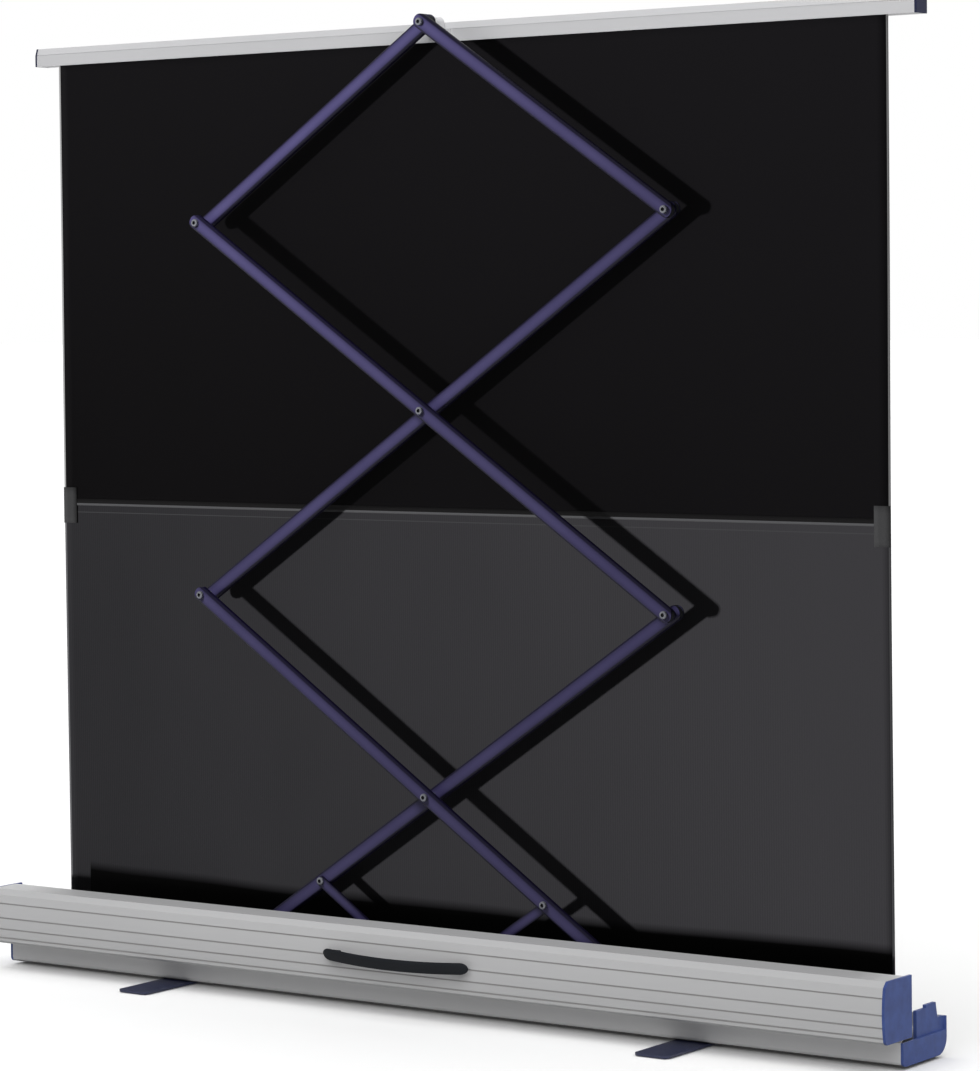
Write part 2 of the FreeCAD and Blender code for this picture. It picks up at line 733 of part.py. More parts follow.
# Rivets, each set carried by one arm
level = [pivot_height + n * rise for n in range(6)]
rivets = rivet_stages()
piece("lower_rear_pins", group([pin(ZERO, level[1], rivets), pin(reach, level[2], rivets)]))
link_rivet = [(pin_radius, tail_start, tongue_high), (pin_tail_radius, tail_start, tail_end),
              (pin_head_radius, link_right_high + link_gap, tongue_high)]
piece("lower_front_pin", pin(reach / 2, pivot_height + rise / 2, link_rivet))
upper_rivet = [(pin_radius, tail_start, upper_head_end), (pin_tail_radius, tail_start, tail_end),
               (pin_head_radius, upper_head_start, upper_head_end)]
piece("middle_front_pins", group([pin(ZERO, level[3], rivets), pin(-reach, level[4], upper_rivet)]))
piece("middle_rear_pins", group([pin(reach, level[4], rivets), pin(-reach, level[2], rivets)]))

# Top bar: hollow extrusion with a faceted rear face and a slot for the sheet
rear_y, front_y = -bar_rear, -bar_rear - bar_depth
facet_z = bar_high - bar_facet
bar_section = [
    (front_y, bar_low), (rear_y, bar_low), (rear_y, facet_z), (rear_y - bar_slant, bar_high),
    (front_y + bar_slant, bar_high), (front_y, facet_z),
]
bar_inner = [
    (front_y + bar_wall, bar_low + bar_wall), (rear_y - bar_wall, bar_low + bar_wall),
    (rear_y - bar_wall, facet_z), (rear_y - bar_slant - bar_wall, bar_high - bar_wall),
    (front_y + bar_slant + bar_wall, bar_high - bar_wall), (front_y + bar_wall, facet_z),
]
sheet_rear = -roller_back + roller_radius + wound_thick + face_play
sheet_back = sheet_rear + sheet_thick
backing_low = sheet_back + layer_gap
backing_back = backing_low + backing_thick
bar = new_body("Bar")
pad(bar, draw(bar, "YZ_Plane", [bar_section, bar_inner]), 2 * bar_half)
slot = rectangle(sheet_rear - layer_gap, backing_back + layer_gap, bar_low - overrun, bar_low + bar_wall)
line = rectangle(rear_y - bar_groove, rear_y + overrun, facet_z - bar_groove, facet_z + bar_groove)
pocket(bar, draw(bar, "YZ_Plane", [slot, line]), 2 * bar_half + overrun)
screw_inset = 3 * bracket_screw_head / 2
screw_height = bar_low + bar_tall * bracket_screw_share
screw_places = [((bracket_flange_half - screw_inset) * side, screw_height) for side in (1, -1)]
hole_radius = bracket_screw_radius + pin_play
bar_holes = [rod("y", (x, rear_y - 2 * bar_wall, z), hole_radius, 2 * bar_wall + overrun)
             for x, z in screw_places]
piece("top_bar", cut(bar, bar_holes))
for label, side in (("top_bar_cap_left", -1), ("top_bar_cap_right", 1)):
    cap = new_body("BarCap")
    pad(cap, draw(cap, "YZ_Plane", [bar_section]), bar_cap, False).Reversed = side < 0
    piece(label, place(cap, (bar_half * side, ZERO, ZERO)))

# Bracket between the bar and the scissor's top pin
bracket_low = top_height - bracket_half - link_gap
bracket_front = rear_y + fit_play
flange_rear = bracket_front + bracket_flange_thick
flange_low = bar_low + bracket_flange_lift
flange = block((-bracket_flange_half, bracket_front, flange_low),
               (bracket_flange_half, flange_rear, bar_high - bar_facet))
stem = block((-bracket_half, bracket_front, bracket_low), (bracket_half, tail_end, top_height))
web = block((-bracket_half, bracket_front, flange_low), (bracket_half, flange_rear, top_height))
crown = rod("y", (ZERO, bracket_front, top_height), bracket_half, tail_end - bracket_front)
screw_holes = [rod("y", (x, rear_y - overrun, z), hole_radius, 3 * overrun + bracket_flange_thick)
               for x, z in screw_places]
pin_hole = rod("y", (ZERO, ZERO, top_height), pin_radius + pin_play, 3 * arm_plane_front)
piece("top_bracket", cut(fuse([flange, stem, web, crown]), screw_holes + [pin_hole]))
piece("top_pin", pin(ZERO, top_height, [(pin_radius, face_play, upper_head_end), upper_rivet[2]]))
head_start_y = flange_rear + fit_play
screw_end = flange_rear + face_play + bracket_screw_radius
bracket_screws = []
for x, z in screw_places:
    bracket_screws.append(pin(x, z, [
        (bracket_screw_radius, rear_y - 2 * bar_wall, screw_end),
        (bracket_screw_head, head_start_y, head_start_y + bracket_screw_radius)]))
piece("bracket_screws", group(bracket_screws))

# Slider tracks and sliders
track_low = floor_top + fit_play
track_top = track_low + track_tall
track_middle = (reach + folded_reach) / 2
track_half = (folded_reach - reach) / 2 + track_margin
for label, side in (("slider_track_left", -1), ("slider_track_right", 1)):
    track = new_body("Track")
    half, slot_half = track_width / 2, track_slot / 2
    low_in, top_in = track_low + track_wall, track_top - track_wall
    section = [
        (mid_centre - half, track_low), (mid_centre + half, track_low),
        (mid_centre + half, track_top), (mid_centre + slot_half, track_top),
        (mid_centre + slot_half, top_in), (mid_centre + half - track_wall, top_in),
        (mid_centre + half - track_wall, low_in), (mid_centre - half + track_wall, low_in),
        (mid_centre - half + track_wall, top_in), (mid_centre - slot_half, top_in),
        (mid_centre - slot_half, track_top), (mid_centre - half, track_top),
    ]
    pad(track, draw(track, "YZ_Plane", [section]), 2 * track_half)
    piece(label, place(track, (track_middle * side, ZERO, ZERO)))
for label, side in (("slider_left", -1), ("slider_right", 1)):
    x = reach * side
    shoe_side = track_width / 2 - track_wall - face_play
    shoe = block((x - shoe_half, mid_centre - shoe_side, track_low + track_wall + face_play),
                 (x + shoe_half, mid_centre + shoe_side, track_top - track_wall - face_play))
    ear_low, ear_high = mid_centre - ear_thick / 2, mid_centre + ear_thick / 2
    ear = block((x - link_half_width, ear_low, track_low + track_wall + face_play),
                (x + link_half_width, ear_high, pivot_height))
    crown = rod("y", (x, ear_low, pivot_height), link_half_width, ear_thick)
    if side < 0:
        stages = [(pin_radius, ear_low, head_end), (pin_head_radius, head_start, head_end)]
    else:
        stages = [(pin_radius, tail_start, ear_high), (pin_tail_radius, tail_start, tail_end)]
    piece(label, fuse([shoe, ear, crown, pin(x, pivot_height, stages)]))

# Centre pivot block, its tongue between the two short links
block_low = floor_top + fit_play
flange = block((-block_half, mid_centre - block_depth / 2, block_low),
               (block_half, mid_centre + block_depth / 2, block_low + block_flange))
tongue = block((-link_half_width, tongue_low, block_low), (link_half_width, tongue_high, pivot_height))
crown = rod("y", (ZERO, tongue_low, pivot_height), link_half_width, tongue_thick)
tools = [rod("y", (ZERO, tongue_low - overrun, pivot_height), pin_radius + pin_play,
             tongue_thick + 2 * overrun)]
tools += [rod("z", (x, y, block_low - overrun), block_screw_radius + pin_play, block_flange + 2 * overrun)
          for x, y in block_screw_places]
piece("centre_pivot_block", cut(fuse([flange, tongue, crown]), tools))
block_screws = []
for x, y in block_screw_places:
    shaft = rod("z", (x, y, case_underside + face_play), block_screw_radius,
                block_low + block_flange - case_underside)
    head = rod("z", (x, y, block_low + block_flange + fit_play), bracket_screw_head, block_screw_radius)
    block_screws.append(fuse([shaft, head]))
piece("block_screws", group(block_screws))

# Roller: tube, wound sheet, end plugs, bearings, arbor and spring
roller_y = -roller_back


def tube(start, inner, outer, length):
    body = rod("x", (start, roller_y, roller_height), outer, length)
    return cut(body, [rod("x", (start - overrun, roller_y, roller_height), inner, length + 2 * overrun)])


piece("roller_tube", tube(-roller_half, roller_radius - roller_wall, roller_radius, 2 * roller_half))
piece("wound_sheet", tube(-sheet_half, roller_radius + pin_play, roller_radius + wound_thick, 2 * sheet_half))
plug_radius = roller_radius - roller_wall - pin_play
axle_end = cheek_face - 3 * fit_play
right_plug = rod("x", (roller_half - plug_long, roller_y, roller_height), plug_radius, plug_long)
right_axle = rod("x", (roller_half - plug_long, roller_y, roller_height), axle_radius,
                 axle_end - roller_half + plug_long)
piece("roller_plug_right", fuse([right_plug, right_axle]))
piece("roller_plug_left", tube(-roller_half, arbor_radius + pin_play, plug_radius, plug_long))
piece("roller_bearing_right", tube(bearing_start, axle_radius + pin_play, bearing_radius, bearing_long))
piece("roller_bearing_left", tube(-bearing_start - bearing_long, arbor_radius + pin_play, bearing_radius,
                                  bearing_long))
piece("spring_arbor", rod("x", (-axle_end, roller_y, roller_height), arbor_radius, arbor_long))
spring_start = -roller_half + 2 * plug_long
piece("roller_spring", tube(spring_start, arbor_radius + spring_play, spring_outer, spring_long))

# Sheets: the projection sheet over its full height, and the black backing behind its upper half
sheet_top = bar_low + sheet_hold
piece("projection_sheet", block((-sheet_half, sheet_rear, roller_height),
                                (sheet_half, sheet_back, sheet_top)))
piece("upper_backing", block((-sheet_half, backing_low, join_height),
                             (sheet_half, backing_back, sheet_top)))
hem_low = backing_back + layer_gap
hem_back = hem_low + backing_thick
piece("backing_hem", block((-sheet_half, hem_low, join_height),
                           (sheet_half, hem_back, join_height + hem_width)))
tab_low = hem_back + layer_gap
tabs = []
for side in (1, -1):
    middle = (sheet_half - tab_width / 2) * side
    tabs.append(block((middle - tab_width / 2, tab_low, join_height - tab_height / 2),
                      (middle + tab_width / 2, tab_low + backing_thick, join_height + tab_height / 2)))
piece("edge_tabs", group(tabs))

# Swivel feet under the base, each on one rivet
foot_low = pad_thick
foot_high = foot_low + foot_thick
foot_rivets = []
for label, side in (("left", -1), ("right", 1)):
    x = foot_place * side
    half, wide = foot_long / 2, foot_width / 2
    foot = new_body("Foot")
    corners = rectangle(-wide, wide, -half, half)
    pad(foot, draw(foot, "XY_Plane", [corners], [(ZERO, ZERO, rivet_radius + pin_play)]), foot_thick, False)
    round_edges(foot, 2, corners, foot_round)
    place(foot, (x, ZERO, foot_low))
    recess = rod("z", (x, ZERO, foot_low - overrun), rivet_head + face_play, overrun + recess_deep)
    piece("foot_plate_" + label, cut(foot, [recess]))
    pads = []
    for end in (1, -1):
        middle = (half - pad_inset - pad_long / 2) * end
        pads.append(block((x - wide + pad_inset, middle - pad_long / 2, ZERO),
                          (x + wide - pad_inset, middle + pad_long / 2, pad_thick)))
    piece("foot_pads_" + label, group(pads))
    head_low = floor_top + fit_play
    foot_rivets.append(fuse([
        rod("z", (x, ZERO, foot_low), rivet_radius, head_low - foot_low),
        rod("z", (x, ZERO, foot_low), rivet_head, recess_deep - face_play),
        rod("z", (x, ZERO, head_low), rivet_head, rivet_head_thick)]))
piece("foot_pivot_rivets", group(foot_rivets))

# Checks every object, then writes one file for each sub-part
doc.recompute()
for thing in doc.Objects:
    if "Invalid" in thing.State or "Error" in thing.State:
        raise ValueError("%s (%s) failed: %s" % (thing.Name, thing.Label, thing.State))
for thing in pieces:
    if thing.Shape.isNull() or not thing.Shape.isValid():
        raise ValueError("%s has no valid shape" % thing.Label)
for thing in pieces:
    thing.Shape.exportStep("parts/%s.step" % thing.Label)
print(len(pieces), "sub-parts written")
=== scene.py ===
from math import hypot, pi, radians, sin

import bmesh
import bpy
from mathutils import Matrix, Vector


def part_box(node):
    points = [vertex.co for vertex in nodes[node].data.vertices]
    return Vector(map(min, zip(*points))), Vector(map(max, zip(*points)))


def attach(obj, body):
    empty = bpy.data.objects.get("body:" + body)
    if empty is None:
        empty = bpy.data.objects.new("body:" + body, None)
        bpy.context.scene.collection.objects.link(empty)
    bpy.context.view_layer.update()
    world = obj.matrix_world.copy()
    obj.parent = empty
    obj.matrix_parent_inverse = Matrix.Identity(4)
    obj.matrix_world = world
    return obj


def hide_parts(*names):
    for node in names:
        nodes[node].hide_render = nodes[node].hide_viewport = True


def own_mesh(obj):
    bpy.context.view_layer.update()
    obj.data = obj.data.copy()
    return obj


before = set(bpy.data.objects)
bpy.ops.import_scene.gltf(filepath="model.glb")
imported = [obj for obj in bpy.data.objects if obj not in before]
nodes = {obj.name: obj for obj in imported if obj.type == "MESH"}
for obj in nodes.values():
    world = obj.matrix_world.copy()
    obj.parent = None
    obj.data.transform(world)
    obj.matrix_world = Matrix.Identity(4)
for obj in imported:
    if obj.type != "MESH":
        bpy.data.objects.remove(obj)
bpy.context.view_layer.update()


# Base housing and top bar: extruded aluminium profiles with a satin anodised skin. The die
# leaves fine lines along their length and the tone drifts a little. The housing's lower rim is
# painted dark, a painted shade where the housing meets the floor.
class Shade:
    """One output among a finish's nodes. A sum written on it adds Math nodes."""

    def __init__(self, finish, socket):
        self.finish = finish
        self.socket = socket

    def node(self, kind, inputs, settings=None, output=0):
        tree = self.finish.node_tree
        made = tree.nodes.new("ShaderNode" + kind)
        for name, value in (settings or {}).items():
            setattr(made, name, value)
        for name, value in inputs.items():
            if isinstance(value, Shade):
                tree.links.new(value.socket, made.inputs[name])
            else:
                made.inputs[name].default_value = value
        return Shade(self.finish, made.outputs[output])

    def sum(self, operation, *values):
        return self.node("Math", dict(enumerate(values)), {"operation": operation})

    def __add__(self, other):
        return self.sum("ADD", self, other)

    __radd__ = __add__

    def __sub__(self, other):
        return self.sum("SUBTRACT", self, other)

    def __rsub__(self, other):
        return self.sum("SUBTRACT", other, self)

    def __mul__(self, other):
        return self.sum("MULTIPLY", self, other)

    __rmul__ = __mul__

    def __gt__(self, other):
        return self.sum("GREATER_THAN", self, other)

    def __lt__(self, other):
        return self.sum("LESS_THAN", self, other)

    def __abs__(self):
        return self.sum("ABSOLUTE", self)

    def between(self, low, high):
        """A colour that goes from low to high as this mask goes from 0 to 1."""
        return self.node("Mix", {0: self, 6: low, 7: high}, {"data_type": "RGBA"}, 2)

    def noise(self, scale, detail=2.0, stretch=(1, 1, 1)):
        """Noise on these coordinates, its features stretched where stretch is below 1."""
        spread = self.node("Mapping", {"Vector": self, "Scale": stretch})
        return self.node("TexNoise", {"Vector": spread, "Scale": scale, "Detail": detail})

    def axis(self, letter):
        return self.node("SeparateXYZ", {"Vector": self}, output=letter)


def tint(code):
    """A colour code such as b0b2b4, as the linear colour a shader takes."""
    parts = [int(code[i:i + 2], 16) / 255 for i in (0, 2, 4)]
    return (*(p / 12.92 if p < 0.04045 else ((p + 0.055) / 1.055) ** 2.4 for p in parts), 1)


def new_finish(name, **constants):
    """A material, with the shader's own sockets set, and its Object coordinates."""
    finish = bpy.data.materials.new(name)
    finish.use_nodes = True
    skin = finish.node_tree.nodes["Principled BSDF"]
    for socket, value in constants.items():
        skin.inputs[socket.replace("_", " ")].default_value = value
    coordinates = finish.node_tree.nodes.new("ShaderNodeTexCoord")
    return finish, Shade(finish, coordinates.outputs["Object"])


def lay_on(finish, colour=None, roughness=None, height=None, depth=0.0001, strength=1.0):
    """Links what varies over the surface to the shader: colour, roughness and relief."""
    tree = finish.node_tree
    skin = tree.nodes["Principled BSDF"]
    if colour:
        tree.links.new(colour.socket, skin.inputs["Base Color"])
    if roughness:
        tree.links.new(roughness.socket, skin.inputs["Roughness"])
    if height:
        values = {"Height": height, "Distance": depth, "Strength": strength}
        tree.links.new(height.node("Bump", values).socket, skin.inputs["Normal"])


def coat(finish, slot, *names):
    """Gives CAD nodes a finish. The slot argument is not used."""
    for name in names:
        piece = nodes[name]
        piece.data.materials.clear()
        piece.data.materials.append(finish)


def extruded(name, drift_scale, **constants):
    """A finish for a profile, its coordinates, its die lines and its slow drift of tone."""
    finish, at = new_finish(name, **constants)
    return finish, at, at.noise(900, 3, (0.004, 1, 1)), at.noise(drift_scale, 3, (0.25, 1, 1))


aluminium, at, die_lines, drift = extruded("satin_aluminium", 6, Metallic=0.35, Specular_IOR_Level=0.4)
# The lowest few millimetres of the housing are painted dark: painted shade at its foot.
rim_top = 0.0064
painted_foot_shade = (at.axis("Z") < rim_top) * (drift * 0.4 + 0.7)
lay_on(aluminium, painted_foot_shade.between(drift.between(tint("adadae"), tint("bcbcbd")), tint("2e2d2c")),
       die_lines * 0.16 + 0.42, die_lines, 0.00004, 0.5)
coat(aluminium, "case_aluminium", "base_housing")
bar_metal, at, die_lines, drift = extruded("bar_aluminium", 5, Metallic=0.2, Specular_IOR_Level=0.4)
lay_on(bar_metal, drift.between(tint("c3c3c5"), tint("d2d2d4")),
       die_lines * 0.16 + 0.4, die_lines, 0.00004, 0.5)
coat(bar_metal, "case_aluminium", "top_bar")

# Lid: the same extruded metal, hinged along the housing's rear wall. Four grooves run along its
# outer face, each with a darker line painted along it as painted shade in the groove.
lid_metal, at, die_lines, drift = extruded("lid_aluminium", 6, Metallic=0.1, Specular_IOR_Level=0.3)
outer_face = 0.085
groove_heights = (0.11, 0.275, 0.48, 0.745)
groove_reach = 0.012
lid_low, lid_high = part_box("lid_shell")
height = (at.axis("Z") - lid_low.z) * (1 / (lid_high.z - lid_low.z))
nearest = abs(height - groove_heights[0])
for share in groove_heights[1:]:
    nearest = nearest.sum("MINIMUM", nearest, abs(height - share))
# Darker lines along the grooves: painted shade in the recesses.
painted_groove_shade = (nearest < groove_reach) * (at.axis("Y") > outer_face)
lid_tone = drift.between(tint("a9a9aa"), tint("b6b6b7"))
lay_on(lid_metal, (painted_groove_shade * (drift * 0.3 + 0.7)).between(lid_tone, tint("8c8b8a")),
       die_lines * 0.16 + 0.42, die_lines, 0.00004, 0.5)
coat(lid_metal, "case_aluminium", "lid_shell")

# End caps of base, lid and bar: blue-grey nylon, injection moulded, pressed into the ends
# of the profiles. The mould leaves a fine even grain.
cap_plastic, at = new_finish("cap_nylon", Specular_IOR_Level=0.2)
grain = at.noise(1400, 2)
shift = at.noise(70, 4)
lay_on(cap_plastic, shift.between(tint("2a3766"), tint("495b93")),
       shift * 0.12 + 0.42, grain, 0.00006, 0.5)
coat(cap_plastic, "cap_plastic", "base_end_cap_left", "base_end_cap_right", "lid_end_cap_left",
     "lid_end_cap_right")
bar_cap_plastic, at = new_finish("bar_cap_nylon", Specular_IOR_Level=0.3)
shift = at.noise(45, 3)
lay_on(bar_cap_plastic, shift.between(tint("14172c"), tint("1f2340")), shift * 0.12 + 0.45)
coat(bar_cap_plastic, "cap_plastic", "top_bar_cap_left", "top_bar_cap_right")

# Scissor arms and short links: flat-oval steel tube and strip in dark violet-blue enamel. Each
# has a painted highlight along its crown that falls away into painted shade at its flanks, and
# the enamel has a slight orange peel.
arm_wide, link_wide = 0.02, 0.013
highlight_fall = 1.2
for name, wide in (("lower_arm_rear", arm_wide), ("lower_arm_front", arm_wide),
                   ("middle_arm_front", arm_wide), ("middle_arm_rear", arm_wide),
                   ("upper_arm_front", arm_wide), ("upper_arm_rear", arm_wide),
                   ("short_link_left", link_wide), ("short_link_right", link_wide)):
    low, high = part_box(name)
    middle = (low + high) / 2
    lean = sum((corner.co.x - middle.x) * (corner.co.z - middle.z)
               for corner in nodes[name].data.vertices)
    run = high.x - low.x - wide
    rise = (high.z - low.z - wide) * (1 if lean > 0 else -1)
    arm_enamel, at = new_finish(name + "_enamel", Specular_IOR_Level=0.25)
    aside = (at.axis("Z") - middle.z) * run - (at.axis("X") - middle.x) * rise
    across = aside * (2 / wide / hypot(run, rise))
    # Painted highlight and shade: faces turned to ±Y are lit along the middle of their width, the
    # flanks are dark.
    facing = abs(Shade(arm_enamel, at.socket.node.outputs["Normal"]).axis("Y"))
    flat = facing.node("MapRange", {"Value": facing, "From Min": 0.93, "From Max": 1.0})
    painted_crown_light = flat * across.sum("MAXIMUM", 1 - across * across * highlight_fall, 0)
    peel = at.noise(320, 3)
    lit_enamel = at.noise(14, 3).between(tint("454068"), tint("55507a"))
    lay_on(arm_enamel, painted_crown_light.between(tint("0d0922"), lit_enamel),
           peel * 0.1 + 0.42, peel, 0.00005, 0.4)
    coat(arm_enamel, "arm_paint", name)

# Plugs in the arm ends, roller plugs and bearings: moulded black plastic, pressed into place,
# matt with a fine grain.
black_plastic, at = new_finish("black_plastic", Specular_IOR_Level=0.4)
grain = at.noise(1600, 2)
wear = at.noise(60, 3)
lay_on(black_plastic, wear.between(tint("17181a"), tint("232428")),
       wear * 0.2 + 0.5, grain, 0.00005, 0.5)
coat(black_plastic, "black_plastic", "lower_arm_rear_plugs", "lower_arm_front_plugs",
     "middle_arm_front_plugs", "middle_arm_rear_plugs", "upper_arm_front_plugs",
     "upper_arm_rear_plugs", "roller_plug_left", "roller_plug_right",
     "roller_bearing_left", "roller_bearing_right")

# Carrying handle: one moulded rubber strap, bowed outwards, with soft edges and round ends.
# A post moulded behind each end stands on the lid's rear face and hides its screw.
handle_rubber, at = new_finish("handle_rubber", Specular_IOR_Level=0.12)
grain = at.noise(900, 3)
wear = at.noise(30, 3)
lay_on(handle_rubber, wear.between(tint("15171a"), tint("1f2124")),
       wear * 0.15 + 0.6, grain, 0.0001, 0.6)
strap_reach, strap_bow = 0.111, 0.012
half_thick, half_wide = 0.003, 0.0075
strap_place, strap_lean = (0, 0.1008, 0.074), radians(-16)
straight, round_end = 0.9, 0.1
post_size = (0.013, 0.0085, 0.009)
post_reach, post_height = 0.095, 0.073


def finished(name, mesh):
    """Makes a mesh's object, which sits at the origin with its place in its mesh."""
    data = bpy.data.meshes.new(name)
    mesh.to_mesh(data)
    mesh.free()
    piece = bpy.data.objects.new(name, data)
    bpy.context.collection.objects.link(piece)
    return piece


mesh = bmesh.new()
ring = bmesh.ops.create_circle(mesh, segments=20, radius=1)["verts"]
bmesh.ops.rotate(mesh, verts=ring, matrix=Matrix.Rotation(pi / 2, 3, "Y"))
for corner in ring:
    corner.co.y = half_thick * abs(corner.co.y) ** 0.6 * (1 if corner.co.y > 0 else -1)
    corner.co.z = half_wide * abs(corner.co.z) ** 0.6 * (1 if corner.co.z > 0 else -1)
    corner.co.x = -1
edges = list(mesh.edges)
close_set = [-1 + round_end * (step / 5) ** 2 for step in range(6)]
wide_set = [-straight + straight * step / 10 for step in range(1, 20)]
stations = close_set + wide_set + [-share for share in close_set[::-1]]
for share in stations[1:]:
    grown = bmesh.ops.extrude_edge_only(mesh, edges=edges)["geom"]
    edges = [part for part in grown if isinstance(part, bmesh.types.BMEdge)]
    for corner in (part for part in grown if isinstance(part, bmesh.types.BMVert)):
        corner.co.x = share
for corner in mesh.verts:
    share = corner.co.x
    tight = max(0.05, 1 - (max(0.0, abs(share) - straight) / round_end) ** 2) ** 0.5
    bowed = half_thick + corner.co.y * tight + strap_bow * (1 - share ** 2)
    corner.co = (strap_reach * share, bowed, corner.co.z * tight)
bmesh.ops.holes_fill(mesh, edges=mesh.edges, sides=0)
bmesh.ops.recalc_face_normals(mesh, faces=mesh.faces)
on_lid = Matrix.Translation(strap_place) @ Matrix.Rotation(strap_lean, 4, "X")
bmesh.ops.transform(mesh, verts=mesh.verts, matrix=on_lid)
for face in mesh.faces:
    face.smooth = True
lid_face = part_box("handle_mounts")[0].y
for side in (1, -1):
    post = bmesh.ops.create_cube(mesh, size=1)["verts"]
    bmesh.ops.scale(mesh, verts=post, vec=post_size)
    bmesh.ops.translate(mesh, verts=post,
                        vec=(post_reach * side, lid_face + post_size[1] / 2, post_height))
    edges = list({edge for corner in post for edge in corner.link_edges})
    bmesh.ops.bevel(mesh, geom=edges, offset=0.0012, offset_type="OFFSET", segments=2, profile=0.5,
                    affect="EDGES", material=-1)
strap = finished("carry_handle", mesh)
strap.data.materials.append(handle_rubber)
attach(strap, "lid")
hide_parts("handle_grip", "handle_screws", "handle_mounts")

# Rivets, pins and screws: zinc-plated steel, turned or cold headed, bright with a soft bloom.
# The bores of the semi-hollow rivets are painted dark, as painted shade in the recess.
zinc, at = new_finish("bright_zinc", Metallic=0.6, Specular_IOR_Level=0.5)
bloom = at.noise(500, 4)
lay_on(zinc, bloom.between(tint("7d7f86"), tint("96989e")), bloom * 0.2 + 0.35, bloom, 0.00003, 0.5)
coat(zinc, "rivet_steel", "centre_pivot_pin", "foot_pivot_rivets", "block_screws", "bracket_screws")
painted_bore_shade, at = new_finish("rivet_bore", Specular_IOR_Level=0.3)
bore_mottle = at.noise(400, 3)
lay_on(painted_bore_shade, bore_mottle.between(tint("121214"), tint("26262a")), bore_mottle * 0.2 + 0.5)

# Scissor rivets: turned semi-hollow rivets with a domed head and a dished centre. Each one
# runs from its tail washer through both arms, and the arm that holds it carries it along.
front_arm, rear_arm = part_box("middle_arm_front"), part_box("middle_arm_rear")
upper_arm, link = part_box("upper_arm_rear"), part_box("short_link_right")
play, shoulder_play = 0.0003, 0.0004
shank, head_rim = 0.003, 0.005
head_tall, bore_deep, bore_mouth = 0.0042, 0.0024, 0.0024
tail = (0.0042, front_arm[0].y - 0.0033, front_arm[0].y - play)
shoulder = (0.0043, front_arm[1].y + shoulder_play, rear_arm[0].y - shoulder_play)
full_head = (rear_arm[1].y + play, rear_arm[1].y + head_tall)
upper_head = (upper_arm[1].y + play, upper_arm[1].y + head_tall)


def rivets(name, node, body, kinds):
    """Lathed rivets: for each a place, its collars (radius, from, to) and its head's span."""
    mesh = bmesh.new()
    for (x, z), collars, (low, high) in kinds:
        outline = [(0.0, collars[0][1])]
        for radius, start, end in collars:
            outline += [(shank, start), (radius, start), (radius, end), (shank, end)]
        outline += [(shank, low), (head_rim, low), (head_rim, low + 0.0016),
                    (0.0046, high - 0.0009), (0.0037, high - 0.0002), (0.0029, high),
                    (0.0023, high - 0.0004), (0.0021, high - 0.0012),
                    (0.0019, high - bore_deep), (0.0, high - bore_deep)]
        corners = [mesh.verts.new((x + radius, y, z)) for radius, y in outline]
        edges = [mesh.edges.new(pair) for pair in zip(corners, corners[1:])]
        bmesh.ops.spin(mesh, geom=corners + edges, axis=(0, 1, 0), cent=(x, 0, z),
                       angle=2 * pi, steps=28, use_merge=True)
    bmesh.ops.remove_doubles(mesh, verts=mesh.verts, dist=0.00001)
    bmesh.ops.recalc_face_normals(mesh, faces=mesh.faces)
    for face in mesh.faces:
        face.smooth = True
        middle = face.calc_center_median()
        for (x, z), _, (_, top) in kinds:
            from_axis = Vector((middle.x - x, middle.z - z)).length
            # Faces inside the bore take the dark finish: painted shade in the recess.
            if from_axis < bore_mouth and top - 0.003 < middle.y < top - 0.0003:
                face.material_index = 1
    for edge in mesh.edges:
        edge.smooth = edge.calc_face_angle(0) < 0.6
    made = finished(name, mesh)
    made.data.materials.append(zinc)
    made.data.materials.append(painted_bore_shade)
    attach(made, body)
    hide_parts(node)


def middle_of(box):
    """A single pin's place across the arms: the middle of its box in x and z."""
    low, high = box
    return (low.x + high.x) / 2, (low.z + high.z) / 2


for tier in ("lower", "middle"):
    low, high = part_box(tier + "_rear_pins")
    rivets(tier + "_rear_rivets", tier + "_rear_pins", tier + "_arm_rear",
           [((low.x + head_rim, low.z + head_rim), (tail, shoulder), full_head),
            ((high.x - head_rim, high.z - head_rim), (tail, shoulder), full_head)])
low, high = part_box("middle_front_pins")
rivets("middle_front_rivets", "middle_front_pins", "middle_arm_front",
       [((high.x - head_rim, low.z + head_rim), (tail, shoulder), full_head),
        ((low.x + head_rim, high.z - head_rim), (tail,), upper_head)])
for name, node, body, head in (("top_rivet", "top_pin", "top_bar", upper_head),
                               ("left_link_rivet", "link_pin_left", "short_link_left", full_head)):
    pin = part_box(node)
    pin_end = (shank, pin[0].y, pin[0].y + 0.001)
    rivets(name, node, body, [(middle_of(pin), (pin_end,), head)])
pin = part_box("lower_front_pin")
rivets("right_link_rivet", "lower_front_pin", "lower_arm_front",
       [(middle_of(pin), (tail,), (link[1].y + shoulder_play, pin[1].y))])

# Tracks, sliders, centre block and arbor: rolled and pressed steel, dull zinc. The top bracket
# has the bar's finish, and the roller tube is the housing's metal.
track_steel, at = new_finish("dull_zinc", Metallic=0.9)
flakes = at.node("TexVoronoi", {"Vector": at, "Scale": 260.0}, output="Distance")
rolled = at.noise(700, 3, (0.02, 1, 1))
lay_on(track_steel, flakes.between(tint("7f8286"), tint("94979b")),
       rolled * 0.25 + 0.34, rolled, 0.00004, 0.5)
coat(track_steel, "track_steel", "slider_track_left", "slider_track_right",
     "centre_pivot_block", "slider_left", "slider_right")
coat(bar_metal, "case_aluminium", "top_bracket")
coat(track_steel, "spring_steel", "spring_arbor", "roller_spring")
coat(aluminium, "roller_aluminium", "roller_tube")

